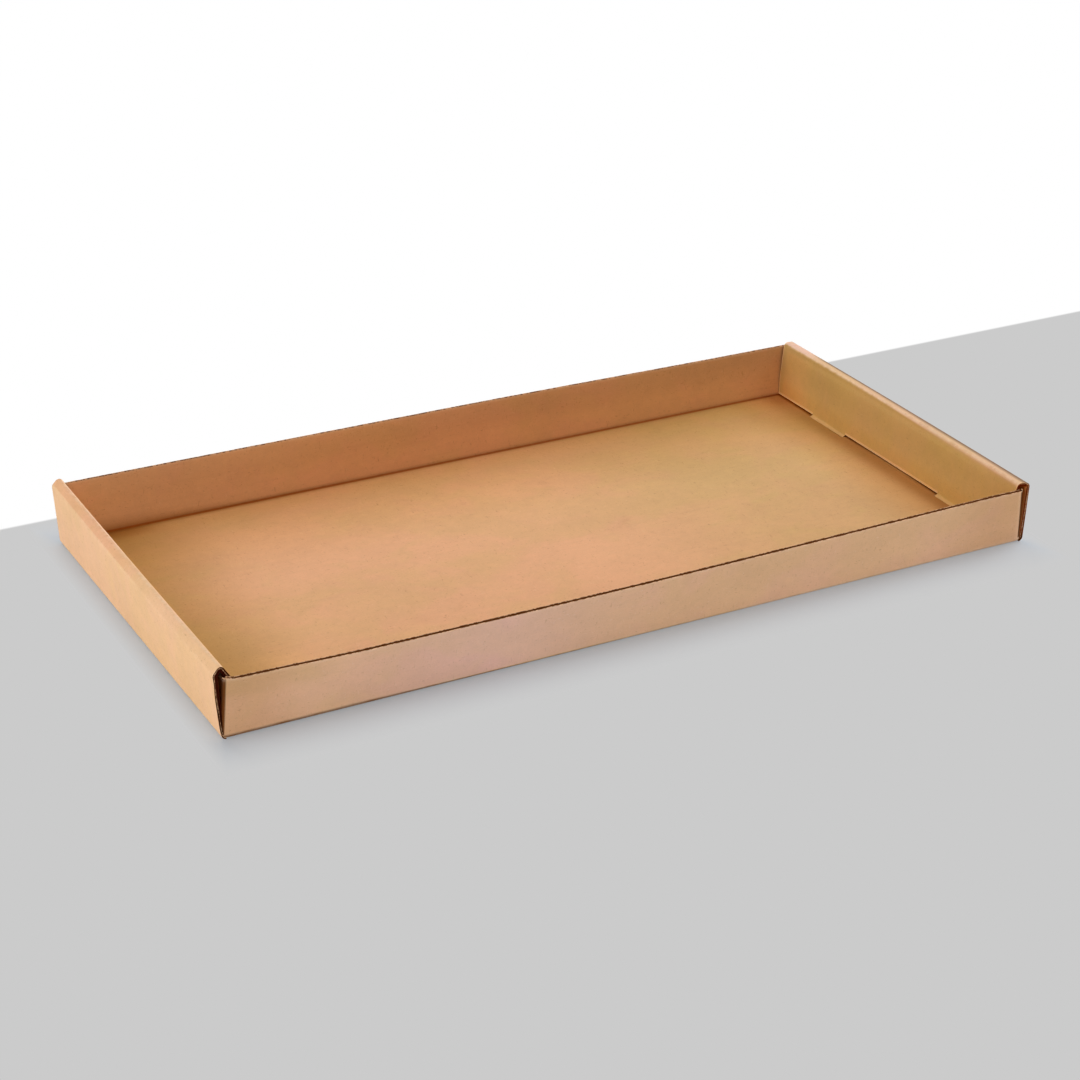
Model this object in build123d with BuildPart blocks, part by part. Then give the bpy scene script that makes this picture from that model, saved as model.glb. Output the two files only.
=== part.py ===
from build123d import *
from math import atan2, cos, degrees, hypot, radians, sin
import os

# A shallow tray folded from one sheet of corrugated board, lengths in millimetres, angles in degrees.
# The origin is the middle of the underside. X runs along the tray, Y across it and Z up.

# The sheet and its folds
board = 2.8
fold_inside = 0.3
corner_slit = 0.3

# The floor, measured over the folds on all four sides
length = 600
width = 290

# The two long walls are one board thick and lean outwards
wall_height = 42.4
wall_flare = 6.4

# A flap at each end of a long wall turns the corner and stands inside the folded end
flap_gap = 0.3
flap_length = 75
flap_slant = 14
flap_shoulder = 4
flap_floor_gap = 0.5

# Each end goes up, over a band as wide as three boards, and down again as an inner panel
end_height = 44.4
end_side_gap = 0.3
band_ease = 0.6
left_lean = 5
left_band_tilt = 46
right_lean = 1.2
right_band_tilt = 5

# The inner panel bends at a soft knee above the flaps and stands a little way over the floor
knee_drop = 6.2
knee_radius = 12
knee_run = 4
foot_kick = 3.2
foot_gap = 1.0
panel_side_gap = 0.2

# Two tabs under each inner panel lock in slots through the floor
tab_width = 43
tab_centres = (-84.5, 73.5)
tab_tip_gap = 0.4
tab_chamfer = 1.2
slot_end_gap = 0.5
slot_back_gap = 0.3
slot_front_gap = 2.4

# What follows from the sizes above
fold_outside = board + fold_inside
floor_end = length / 2 - fold_outside - corner_slit
flare_sin = sin(radians(wall_flare))
flare_cos = cos(radians(wall_flare))
wall_start = fold_outside + flap_floor_gap
hinge_x = length / 2 - board - flap_gap
hinge_run = fold_outside + flap_gap
band_width = 3 * board + band_ease
knee_inset = 3 * board + 2 * flap_gap
knee_z = end_height - knee_drop
foot_inset = knee_inset + foot_kick
foot_z = board + foot_gap
panel_lean = degrees(atan2(foot_kick, knee_z - foot_z))
panel_rise = hypot(foot_kick, knee_z - foot_z) - knee_run
panel_half = width / 2 - board - panel_side_gap
tab_length = (foot_z - tab_tip_gap) / cos(radians(panel_lean))
flap_top_z = min(knee_z - flap_gap, wall_height * flare_cos)

# One long wall with its two corner flaps, the front one. Its own plane leans with it:
# x runs along the tray, y points in at a right angle to the wall, and z goes up the slope.
up_the_wall = Vector(0, -flare_sin, flare_cos)
wall_plane = Plane(origin=(0, -width / 2, 0), x_dir=(1, 0, 0), z_dir=up_the_wall)
with BuildPart() as long_wall:
    with BuildSketch(wall_plane.offset(wall_start)) as wall_section:
        with BuildLine() as wall_path:
            FilletPolyline(
                (-hinge_x, hinge_run),
                (-hinge_x, 0),
                (hinge_x, 0),
                (hinge_x, hinge_run),
                radius=fold_outside,
            )
            offset(amount=board, side=Side.LEFT)
        make_face()
    extrude(amount=wall_height - wall_start)
    # The top edge of a flap drops at a shoulder and then stays level under the folded end
    for side in (-1, 1):
        hinge_line = wall_plane.from_local_coords((side * hinge_x, 0, 0))
        shoulder = hinge_run + flap_shoulder
        corner = flap_length - flap_slant
        with BuildSketch(Plane(origin=hinge_line, x_dir=wall_plane.y_dir, z_dir=(1, 0, 0))):
            with BuildLine():
                Polyline(
                    (hinge_run, wall_start),
                    (flap_length, wall_start),
                    (corner, (flap_top_z - corner * flare_sin) / flare_cos),
                    (shoulder, (flap_top_z - shoulder * flare_sin) / flare_cos),
                    (hinge_run, wall_height),
                    close=True,
                )
            make_face()
        extrude(amount=-side * board)

# The floor with the folds at the foot of both long walls, and the four slots for the tabs
with BuildPart() as floor:
    with BuildSketch(Plane.YZ) as floor_section:
        with BuildLine() as floor_path:
            FilletPolyline(
                (-width / 2 - wall_start * flare_sin, wall_start * flare_cos),
                (-width / 2, 0),
                (width / 2, 0),
                (width / 2 + wall_start * flare_sin, wall_start * flare_cos),
                radius=fold_outside,
            )
            offset(amount=board, side=Side.LEFT)
        make_face()
    extrude(amount=floor_end, both=True)
    slot_front = foot_inset + slot_front_gap
    slot_back = foot_inset - board - slot_back_gap
    slot_places = [
        (side * (length - slot_front - slot_back) / 2, centre)
        for side in (-1, 1)
        for centre in tab_centres
    ]
    with BuildSketch() as slots:
        with Locations(*slot_places):
            Rectangle(slot_front - slot_back, tab_width + 2 * slot_end_gap)
    extrude(amount=board, mode=Mode.SUBTRACT)

# The two folded ends, each drawn from the side with its outer liner as the path
folded_ends = []
for side, lean, band_tilt in ((-1, left_lean, left_band_tilt), (1, right_lean, right_band_tilt)):
    crease_out = length / 2 + end_height * sin(radians(lean))
    crease_z = end_height * cos(radians(lean))
    ridge_out = crease_out - band_width * cos(radians(band_tilt))
    ridge_z = crease_z + band_width * sin(radians(band_tilt))
    knee_out = length / 2 - knee_inset
    with BuildPart() as folded_end:
        with BuildSketch(Plane(origin=(0, 0, 0), x_dir=(side, 0, 0), z_dir=(0, -side, 0))):
            with BuildLine():
                FilletPolyline(
                    (floor_end, 0),
                    (length / 2, 0),
                    (crease_out, crease_z),
                    (ridge_out, ridge_z),
                    (knee_out, knee_z),
                    (
                        knee_out - knee_run * sin(radians(panel_lean)),
                        knee_z - knee_run * cos(radians(panel_lean)),
                    ),
                    radius=(fold_outside, fold_outside, fold_outside, knee_radius),
                )
                offset(amount=board, side=Side.LEFT)
            make_face()
        extrude(amount=width / 2 - end_side_gap, both=True)
        # The band narrows from the outer panel's width to the inner panel's
        taper_start = crease_out - board
        with BuildSketch(Plane.XY.offset(knee_z - 2 * knee_run)) as band_taper:
            for across in (-1, 1):
                with BuildLine():
                    Polyline(
                        (side * taper_start, across * (width / 2 - end_side_gap)),
                        (side * knee_out, across * panel_half),
                        (side * (knee_out - band_width), across * panel_half),
                        (side * (knee_out - band_width), across * width / 2),
                        (side * taper_start, across * width / 2),
                        close=True,
                    )
                make_face()
        extrude(amount=ridge_z, mode=Mode.SUBTRACT)
        # The inner panel with its tabs, drawn flat on the face that looks into the tray
        lean_sin = sin(radians(panel_lean))
        lean_cos = cos(radians(panel_lean))
        foot = (side * (length / 2 - foot_inset), 0, foot_z)
        panel_face = Plane(origin=foot, x_dir=(0, side, 0), z_dir=(side * lean_cos, 0, -lean_sin))
        with BuildSketch(panel_face) as inner_panel:
            with Locations((0, panel_rise / 2)):
                Rectangle(2 * panel_half, panel_rise)
            with Locations(*[(side * centre, -tab_length / 2) for centre in tab_centres]):
                Rectangle(tab_width, tab_length)
            chamfer(inner_panel.vertices().group_by(Axis.Y)[0], tab_chamfer)
        extrude(amount=board)
    folded_ends.append(folded_end.part)

# The whole sheet, folded up
with BuildPart() as tray:
    add(floor.part)
    add(long_wall.part)
    mirror(long_wall.part, about=Plane.XZ)
    add(folded_ends)

tray.part.label = "tray"
os.makedirs("parts", exist_ok=True)
export_step(tray.part, "parts/tray.step")
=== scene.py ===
import bpy
import numpy as np
from math import cos, pi, radians, sin
from mathutils import Matrix, Vector


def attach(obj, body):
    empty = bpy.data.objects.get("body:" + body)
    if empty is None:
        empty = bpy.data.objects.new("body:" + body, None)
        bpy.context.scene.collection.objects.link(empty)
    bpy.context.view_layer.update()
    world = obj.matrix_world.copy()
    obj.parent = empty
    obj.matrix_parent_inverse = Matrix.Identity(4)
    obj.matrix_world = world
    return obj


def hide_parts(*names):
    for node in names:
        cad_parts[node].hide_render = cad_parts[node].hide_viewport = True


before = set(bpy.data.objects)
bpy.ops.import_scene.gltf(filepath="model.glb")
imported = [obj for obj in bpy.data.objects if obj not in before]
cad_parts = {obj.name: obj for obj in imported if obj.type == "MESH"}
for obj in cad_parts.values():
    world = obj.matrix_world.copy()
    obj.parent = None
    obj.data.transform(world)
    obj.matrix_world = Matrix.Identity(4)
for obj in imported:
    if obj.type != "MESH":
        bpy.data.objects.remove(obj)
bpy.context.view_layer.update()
print("frame loaded")

# The tray is one folded sheet. A point of it is known by its place on the flat blank, a along the
# tray and b across it, both measured on the outer liner from the middle of the floor, and by its
# depth n from the outer liner towards the inner one. Lengths are in metres, angles in degrees.
tray = {
    "length": 0.600,
    "width": 0.290,
    "board": 0.0028,
    "foldOutside": 0.0031,
    "cornerSlit": 0.0003,
    # long walls
    "wallHeight": 0.0424,
    "wallFlare": 6.4,
    # how far the front and the rear wall bow out at their tops, how the front one sways out at its left and
    # back in towards its right, and how far the rear one drops to its right, with their spans of a
    "wallBows": (0.0016, 0.0008),
    "frontSway": 0.0024,
    "swayBack": 1.35,
    "swaySpans": ((-0.294, -0.20), (-0.06, 0.30), 0.265),
    "rearDrop": 0.0013,
    "dropSpan": (0.0, 0.26),
    # corner flaps: how far in from the end their hinges stand, the front ones at foot and top (left, right),
    # from where that bends the wall, and the way the flap takes back
    "hingeInset": 0.0031,
    "hingeInsets": ((-0.0006, 0.0017), (0.0003, 0.0077)),
    "bentFrom": 0.24,
    "hingeReturn": 0.0038,
    "sharpFold": 0.0018,
    "cornerLift": 0.0013,
    "flapLength": 0.075,
    "flapSlant": 0.014,
    "flapShoulder": 0.004,
    "flapFloorGap": 0.0005,
    "flapTop": 0.0379,
    # room between flap and outer panel, how it leans, and how much more it does at the left
    "flapRoom": 0.0002,
    "roomLeans": (1.2, 3.0),
    # folded ends: how far the outer panel leans at its near edge, middle and rear edge, and the bulge of
    # the left one's near edge: how far out, from which b, and the heights where it rises and falls
    "endHeight": 0.0444,
    "bandWidths": {-1: 0.0083, 1: 0.0090},
    "leans": {-1: (5.7, 5.6, 4.2), 1: (1.2, 2.6, 1.2)},
    "edgeBulge": 0.0006,
    "bulgeFrom": 0.120,
    "bulgeHeights": ((0.001, 0.009), (0.040, 0.028)),
    "bandTilts": {-1: 46, 1: 5},
    "sideGap": 0.0003,
    # inner panel, with the radii of its soft bend, its foot and its tabs
    "kneeInset": 0.0090,
    "kneeZ": 0.0382,
    "kneeRadius": 0.012,
    "panelBend": (0.0119, 0.015),
    "footInset": 0.0122,
    "footZ": 0.0036,
    "panelRadii": (0.040, 0.0008, 0.0005),
    "panelSideGap": 0.0030,
    "narrowFrom": 0.130,
    # tabs and the slots they lock in
    "tabWidth": 0.043,
    "tabCentres": (-0.0845, 0.0735),
    "tabKick": 0.00225,
    "tabSkew": 0.0004,
    "tabBendZ": 0.0026,
    "tabTipZ": 0.0004,
    "tabChamfer": 0.0012,
    "slotEndGap": 0.0005,
    "slotBackGap": 0.0003,
    "slotFrontGap": 0.0029,
}

# How finely the sheet is divided, and the extra lines at edges, creases and under a foot
mesh = {
    "step": 0.0027,
    "acrossStep": 0.0052,
    "arcSteps": 9,
    "edgeLines": (0.0007, 0.0022),
    "creaseLines": (0.0009, 0.0024),
    "footLines": (-0.0012, -0.0002),
    "room": 0.0003,
}

# A cut edge: two liners with the fluted medium sunk between them, and the shares of liner, recess and
# medium on the walls' top edges and the outer panels
cutEdge = {
    "liner": 0.00042,
    "topLiners": (1.35, 0.75),
    "lip": 0.00006,
    "recess": 0.0012,
    "topRecess": 0.6,
    "medium": 0.00022,
    "topMedium": (0.4, 0.6),
    "panelMedium": 0.35,
    "drift": 0.0007,
    "ragged": 0.00016,
    "flutePitch": 0.0062,
    # periods and seeds of what is uneven along a cut
    "knife": ((0.0075, 0.012, 0.023, 0.051), 11),
    "waves": ((0.031, 0.067, 0.11), 5),
    "sunken": ((0.006, 0.0095, 0.017, 0.04), 21),
    "lipOut": ((0.0065, 0.014, 0.03), 31),
    "lipIn": ((0.0058, 0.013, 0.037), 41),
    # how dark painted shade makes the ends' lips, and how much less it darkens the rear wall's groove and the
    # groove in the sharp fold
    "endLips": {"left": 0.6, "right": 0.95, "inner": 0.6},
    "topShade": 0.2,
    "pressed": 0.8,
}


def fade(value, start, stop):
    # 0 at start to 1 at stop, eased at both ends by t^2 (3 - 2 t)
    t = np.clip((value - start) / (stop - start), 0, 1)
    return t * t * (3 - 2 * t)


def bell(value, middle, spread):
    # exp(-((value - middle) / spread)^2), 1 in the middle
    return np.exp(-((value - middle) / spread) ** 2)


def unevenness(x, y, periods, seed):
    # mean over the periods p of sin(2 pi (x cos h + y sin h) / p + f), heading h and phase f drawn for each
    draw = np.random.default_rng(seed)
    total = 0
    headings, phases = draw.uniform(0, 2 * pi, (2, len(periods)))
    for period, heading, phase in zip(periods, headings, phases):
        total = total + np.sin(2 * pi * (x * cos(heading) + y * sin(heading)) / period + phase)
    return total / len(periods)


def roundedPath(corners, radii):
    # straight runs joined by arcs; an arc of radius r and turn w takes r tan(w/2) off both its runs
    corners = np.array(corners, float)
    runs = np.diff(corners, axis=0)
    headings = np.arctan2(runs[:, 1], runs[:, 0])
    turns = np.diff(headings)
    turns = (turns + pi) % (2 * pi) - pi
    radii = np.array(radii, float)
    trims = radii * np.tan(np.abs(turns) / 2)
    straight = np.hypot(runs[:, 0], runs[:, 1])
    straight[:-1] -= trims
    straight[1:] -= trims
    lengths = np.zeros(2 * len(runs) - 1)
    lengths[0::2] = straight
    lengths[1::2] = radii * np.abs(turns)
    bends = np.full(len(lengths), 1e-9)
    bends[1::2] = turns / lengths[1::2]
    starts = np.concatenate([[0], np.cumsum(lengths)])
    heads = np.repeat(headings, 2)[:-1]
    points = np.zeros((len(lengths), 2))
    points[0] = corners[0]
    aim = np.stack([np.cos(headings), np.sin(headings)], 1)
    points[1::2] = corners[1:-1] - aim[:-1] * trims[:, None]
    points[2::2] = corners[1:-1] + aim[1:] * trims[:, None]
    return {"starts": starts, "bends": bends, "heads": heads, "points": points}


def alongPath(path, s):
    # at length t into a piece of bend k: start + d sin(k t)/k + m (1 - cos(k t))/k, where m is the
    # left-hand normal of the heading d; gives the place and the left-hand normal there
    piece = np.clip(np.searchsorted(path["starts"], s, side="right") - 1, 0, len(path["bends"]) - 1)
    t = s - path["starts"][piece]
    bend = path["bends"][piece]
    head = path["heads"][piece]
    ahead = np.sin(bend * t) / bend
    aside = (1 - np.cos(bend * t)) / bend
    u = path["points"][piece, 0] + np.cos(head) * ahead - np.sin(head) * aside
    v = path["points"][piece, 1] + np.sin(head) * ahead + np.cos(head) * aside
    head = head + bend * t
    return u, v, -np.sin(head), np.cos(head)


def endPath(side, lean):
    # the outer liner of one end seen from the side: floor, outer panel, band, inner panel and tab
    half = tray["length"] / 2
    tilt = radians(tray["bandTilts"][side])
    band = tray["bandWidths"][side]
    creaseOut = half + tray["endHeight"] * sin(radians(lean))
    creaseZ = tray["endHeight"] * cos(radians(lean))
    foot = half - tray["footInset"]
    corners = [
        (0, 0),
        (half, 0),
        (creaseOut, creaseZ),
        (creaseOut - band * cos(tilt), creaseZ + band * sin(tilt)),
        (half - tray["kneeInset"], tray["kneeZ"]),
        (half - tray["panelBend"][0], tray["panelBend"][1]),
        (foot, tray["footZ"]),
        (foot - tray["tabKick"], tray["tabBendZ"]),
        (foot - tray["tabKick"], tray["tabTipZ"]),
    ]
    fold = tray["foldOutside"]
    return roundedPath(corners, [fold, fold, fold, tray["kneeRadius"], *tray["panelRadii"]])


halfLength = tray["length"] / 2
halfWidth = tray["width"] / 2
flare = radians(tray["wallFlare"])
wallStart = tray["foldOutside"] + tray["flapFloorGap"]
endPaths = {side: [endPath(side, lean) for lean in tray["leans"][side]] for side in (-1, 1)}
# pieces of an end's path, the last one the tabs' tip, and where each begins on the blank
pathPieces = {
    "fold": 1, "panel": 2, "crease": 3, "band": 4, "ridge": 5, "inner": 6, "knee": 7, "foot": 11, "tip": -1
}
endMarks = {
    side: {name: endPaths[side][1]["starts"][piece] for name, piece in pathPieces.items()}
    for side in (-1, 1)
}


def pastTab(b):
    # how far b lies outside the nearest tab
    return np.minimum(*[np.abs(b - centre) for centre in tray["tabCentres"]]) - tray["tabWidth"] / 2


def markAt(a, name):
    return np.where(a < 0, endMarks[-1][name], endMarks[1][name])


wallTop = (halfWidth + tray["wallHeight"] * sin(flare), tray["wallHeight"] * cos(flare))
crossPath = roundedPath([(0, 0), (halfWidth, 0), wallTop], [tray["foldOutside"]])
hingeX = halfLength - tray["hingeInset"]
hingeCorners = [(0, 0), (hingeX, 0), (hingeX, tray["flapLength"])]
hingePath = roundedPath(hingeCorners, [tray["foldOutside"]])
sharpPath = roundedPath(hingeCorners, [tray["sharpFold"]])
foldFoot, foldTop, wallTopB = crossPath["starts"][1:]
foldTrim = halfWidth - foldFoot
wallFootB = foldTop + wallStart - foldTrim
hingeStart, hingeEnd = hingePath["starts"][1:3]
slitX = halfLength - tray["foldOutside"] - tray["cornerSlit"]
endEdge = halfWidth - tray["sideGap"]
underFoot = halfLength - tray["footInset"] + mesh["footLines"][0]
longPart, wallPart, flapPart = 0, 1, 2


def foldEnds(a, b, n):
    # floor and ends: the end's path at length |a| and depth n, blended across from its near, middle and
    # rear leans by the weights (t^2 - t)/2, 1 - t^2 and (t^2 + t)/2 with t = b / half the width
    far = np.abs(a)
    t = np.clip(b / halfWidth, -1, 1)
    weights = ((t * t - t) / 2, 1 - t * t, (t * t + t) / 2)
    out = np.zeros_like(a)
    up = np.zeros_like(a)
    for end in (-1, 1):
        here = (a < 0) == (end < 0)
        for path, weight in zip(endPaths[end], weights):
            u, v, nu, nv = alongPath(path, far)
            out += here * weight * (u + n * nu)
            up += here * weight * (v + n * nv)
    marks = endMarks[1]
    # the near edge of the left outer panel bulges out between its foot and its crease
    bulge = fade(-b, tray["bulgeFrom"], endEdge)
    for low, high in tray["bulgeHeights"]:
        bulge = bulge * fade(up, low, high)
    out += (a < 0) * (far < marks["crease"]) * tray["edgeBulge"] * bulge
    # the band's outermost rows narrow towards the inner panel, at the rear on their way down to its foot
    narrowing = np.clip((far - marks["crease"]) / (marks["knee"] - marks["crease"]), 0, 1)
    narrowing = narrowing * (tray["panelSideGap"] - tray["sideGap"])
    narrowing = narrowing * np.where(b > 0, np.clip(1 - up / tray["kneeZ"], 0, 1), 1)
    squeeze = np.clip((np.abs(b) - tray["narrowFrom"]) / (endEdge - tray["narrowFrom"]), 0, 1)
    # a tab's corners are cut off at its tip
    tip = np.clip((far - marks["tip"] + tray["tabChamfer"]) / tray["tabChamfer"], 0, 1)
    centre = np.where(b < 0, *tray["tabCentres"])
    y = b - np.sign(b) * narrowing * squeeze
    acrossTab = (b - centre) / (tray["tabWidth"] / 2)
    y = y - acrossTab * tip * tray["tabChamfer"]
    # and its rear end kicks further in than its near one, all of it from a millimetre below the foot
    out -= tray["tabSkew"] * acrossTab * np.clip((far - marks["foot"]) / 0.001, 0, 1)
    return np.sign(a) * out, y, up


def foldWalls(a, b, n, part):
    # long walls: the cross path up to its fold's end, then straight up the slope; a flap follows the hinge's
    # path in the plane of its wall. The wall bows out by (1 - (a / hinge)^2) (height / wall height)^1.5
    far, side = np.abs(a), np.abs(b)
    u, v, nu, nv = alongPath(crossPath, side)
    hx, hy, nx, ny = alongPath(hingePath, far)
    # height up the wall's slope above the line where its face would meet the ground
    slope = side - foldTop + foldTrim
    flap = part == flapPart
    rise = np.clip(slope / tray["wallHeight"], 0, 1)
    # the hinges lean: both the wall's last stretch and the fold move along, and the flap comes back behind it
    foot, top = [np.where(a < 0, *insets) for insets in tray["hingeInsets"]]
    lean = np.where(b < 0, foot + (top - foot) * rise, tray["hingeInset"])
    stretch = np.clip((far - tray["bentFrom"]) / (hingeStart - tray["bentFrom"]), 0, 1) ** 2
    back = fade(hy, tray["foldOutside"], tray["foldOutside"] + tray["hingeReturn"])
    stretch = np.where(flap, 1 - back, stretch)
    # the near left hinge is sharp on the outside
    sx, sy, _, _ = alongPath(sharpPath, far)
    sharp = (1 - n / tray["board"]) * (1 - back) * (a < 0) * (b < 0)
    hx = hx + (sx - hx) * sharp
    hy = hy + (sy - hy) * sharp
    inward = hy + n * ny
    climb = np.clip((side - foldFoot) / (wallFootB - foldFoot), 0, 1)
    shift = (tray["hingeInset"] - lean) * stretch * climb
    # the fold stops short of the outer panel as soon as it is behind that panel's near edge
    roomLean, leftLean = [sin(radians(angle)) for angle in tray["roomLeans"]]
    panelIn = halfLength - tray["board"] - tray["flapRoom"] + slope * (roomLean + (a < 0) * leftLean)
    clear = (slope * sin(flare) + tray["sideGap"]) / cos(flare)
    panelIn = panelIn + 3 * np.maximum(clear - inward, 0)
    # the strip at the foot of the fold turns the corner with it, more and more on its way up
    turned = climb * (far > hingeStart)
    # the flap's top steps down at a shoulder, and its far end slants
    reach = np.clip((hy - tray["hingeInset"]) / tray["flapShoulder"], 0, 1)
    lowered = (tray["flapTop"] - hy * sin(flare)) / cos(flare)
    top = tray["wallHeight"] + (lowered - tray["wallHeight"]) * reach
    flapSlope = wallStart + (slope - wallStart) * (top - wallStart) / (tray["wallHeight"] - wallStart)
    slant = tray["flapSlant"] * (hy / tray["flapLength"]) ** 2 * (slope - wallStart) / tray["wallHeight"]
    above = side >= foldTop
    x = np.where(flap, hx + n * nx, far + turned * (hx - far)) + shift
    x = np.sign(a) * np.where(flap, np.minimum(x, panelIn), x)
    y = np.where(above, halfWidth + slope * sin(flare) - n * cos(flare), u + n * nu)
    z = np.where(above, slope * cos(flare) + n * sin(flare), v + n * nv)
    y = np.where(flap, halfWidth + flapSlope * sin(flare) - (inward - slant) * cos(flare), y)
    z = np.where(flap, flapSlope * cos(flare) + (inward - slant) * sin(flare), z)
    y = y - turned * ~flap * hy
    bow = np.where(b < 0, *tray["wallBows"]) * np.clip(1 - (a / hingeStart) ** 2, 0, 1)
    swayOut, swayIn, swayEnd = tray["swaySpans"]
    sway = (b < 0) * tray["frontSway"] * (1 - tray["swayBack"] * fade(a, *swayIn))
    sway = sway * fade(a, *swayOut) * fade(a, hingeStart, swayEnd)
    drop = (b > 0) * tray["rearDrop"] * fade(a, *tray["dropSpan"]) * rise
    # the sharp fold pushes its corner up a little
    lift = (b < 0) * tray["cornerLift"] * fade(a, -hingeStart + 0.005, -hingeStart)
    lift = lift * (1 - back * flap) * rise ** 4
    return x, np.sign(b) * (y + (bow + sway) * rise ** 1.5), z - drop + lift


def foldUp(a, b, n, part):
    ends = foldEnds(a, b, n)
    walls = foldWalls(a, b, n, part)
    return np.stack([np.where(part == longPart, e, w) for e, w in zip(ends, walls)], 1)


def linesAlong(starts, curved, step):
    # every start of a piece, with a curved piece cut in arcSteps and a straight one no coarser than step
    lines = [starts[:1]]
    for first, last, bent in zip(starts[:-1], starts[1:], curved):
        count = mesh["arcSteps"] if bent else max(1, int(np.ceil((last - first) / step - 1e-6)))
        lines.append(np.linspace(first, last, count + 1)[1:])
    return np.concatenate(lines)


def withLines(lines, fixed, room):
    # the lines with the fixed ones put in, less those that stand nearer than room to a fixed one
    fixed = np.array(fixed, float)
    clear = np.abs(lines[:, None] - fixed[None, :]).min(1) > room
    return np.unique(np.concatenate([lines[clear], fixed]).round(8))


def gridOf(aLines, bLines, keep, part):
    # corners and counter-clockwise quads of the cells of a grid that keep() lets stay
    a, b = np.meshgrid(aLines, bLines, indexing="ij")
    rows = len(bLines)
    i, j = np.meshgrid(np.arange(len(aLines) - 1), np.arange(rows - 1), indexing="ij")
    first = (i * rows + j).ravel()
    quads = np.stack([first, first + rows, first + rows + 1, first + 1], 1)
    midA = (a[:-1, :-1] + a[1:, 1:]).ravel() / 2
    midB = (b[:-1, :-1] + b[1:, 1:]).ravel() / 2
    quads = quads[keep(midA, midB)]
    return a.ravel(), b.ravel(), np.full(a.size, part), quads


def blankGrids():
    # the floor, walls and ends on one grid and the four flaps on one each
    floorLines = np.linspace(0, hingeStart, int(hingeStart / mesh["step"]))
    slotFront = halfLength - tray["footInset"] - tray["slotFrontGap"]
    slotBack = halfLength - tray["footInset"] + tray["board"] + tray["slotBackGap"]
    footLines = [halfLength - tray["footInset"] + line for line in mesh["footLines"]]
    fixed = [0, slotFront, *footLines, slotBack, hingeStart]
    floorLines = withLines(floorLines, fixed, mesh["step"] / 3)
    columns = []
    for side in (-1, 1):
        starts = endPaths[side][1]["starts"]
        curved = [k % 2 == 1 for k in range(len(starts) - 1)]
        lines = linesAlong(starts[1:], curved[1:], mesh["step"])
        lines = np.concatenate([floorLines, [slitX], lines])
        foot = endMarks[side]["foot"]
        near = [foot - gap for gap in mesh["edgeLines"]]
        lines = withLines(lines, near + [foot], mesh["room"])
        columns.append(side * lines)
    aLines = np.unique(np.concatenate(columns).round(8))
    reaches = [side * (tray["tabWidth"] / 2 + gap) for side in (-1, 1) for gap in (0, tray["slotEndGap"])]
    tabEnds = [centre + reach for centre in tray["tabCentres"] for reach in reaches]
    edges = [endEdge - gap for gap in mesh["edgeLines"]]
    rows = np.linspace(-foldFoot, foldFoot, 2 * int(foldFoot / mesh["acrossStep"]) + 1)
    creases = [side * (foldFoot - gap) for side in (-1, 1) for gap in mesh["creaseLines"]]
    rows = withLines(rows, [-foldFoot, foldFoot] + tabEnds + creases, mesh["acrossStep"] / 3)
    wallMarks = [foldFoot, foldTop, wallFootB, wallTopB]
    wallRows = linesAlong(np.array(wallMarks), [True, False, False], mesh["acrossStep"])
    topEdges = [wallTopB - gap for gap in mesh["edgeLines"]]
    creases = [foldTop + gap for gap in mesh["creaseLines"]]
    fixed = wallMarks + [endEdge] + edges + topEdges + creases
    wallRows = withLines(wallRows, fixed, mesh["room"])
    bLines = np.unique(np.concatenate([rows, wallRows, -wallRows]).round(8))

    def keepSheet(a, b):
        far, side = np.abs(a), np.abs(b)
        core = far < hingeStart
        slitStrip = (far > hingeStart) & (far < slitX) & (side < wallFootB)
        ends = (far > slitX) & ((side < foldFoot) | ((far > markAt(a, "fold")) & (side < endEdge)))
        ends &= (far < markAt(a, "foot")) | (pastTab(b) < 0)
        inSlot = (pastTab(b) < tray["slotEndGap"]) & (far > slotFront) & (far < slotBack)
        return (core | slitStrip | ends) & ~inSlot

    grids = [gridOf(aLines, bLines, keepSheet, wallPart)]
    flapLines = linesAlong(hingePath["starts"][1:], [True, False], mesh["step"])
    flapRows = wallRows[wallRows > wallFootB - 1e-7]
    for along, across in ((-1, -1), (-1, 1), (1, -1), (1, 1)):
        lines, rows = np.sort(along * flapLines), np.sort(across * flapRows)
        grids.append(gridOf(lines, rows, lambda a, b: a == a, flapPart))
    return grids


def weldGrids(grids):
    # one set of corners for all grids, where those of the same place on the blank become one
    shift = np.cumsum([0] + [len(g[0]) for g in grids])
    a, b, part = [np.concatenate([g[k] for g in grids]) for k in range(3)]
    quads = np.concatenate([g[3] + s for g, s in zip(grids, shift)])
    places = np.stack([a, b], 1).round(7)
    _, first, same = np.unique(places, axis=0, return_index=True, return_inverse=True)
    quads = same.ravel()[quads]
    used = np.unique(quads)
    renumber = np.full(len(first), -1)
    renumber[used] = np.arange(len(used))
    first = first[used]
    return a[first], b[first], part[first], renumber[quads]


def boundaryOf(quads, a, b):
    # edges that only one quad has, in the quad's own direction, with the mitred outward direction of
    # each of their corners: (m1 + m2) / (1 + m1.m2) of the two edges' right-hand normals m1 and m2
    edges = np.concatenate([quads[:, [k, (k + 1) % 4]] for k in range(4)])
    key = np.sort(edges, 1)
    _, index, count = np.unique(key, axis=0, return_index=True, return_counts=True)
    edges = edges[index[count == 1]]
    runA = a[edges[:, 1]] - a[edges[:, 0]]
    runB = b[edges[:, 1]] - b[edges[:, 0]]
    size = np.hypot(runA, runB)
    normals = np.stack([runB / size, -runA / size], 1)
    leaving = np.zeros((len(a), 2))
    entering = np.zeros((len(a), 2))
    leaving[edges[:, 0]] = normals
    entering[edges[:, 1]] = normals
    mitre = (leaving + entering) / np.maximum(1 + (leaving * entering).sum(1), 0.2)[:, None]
    return edges, mitre


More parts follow.
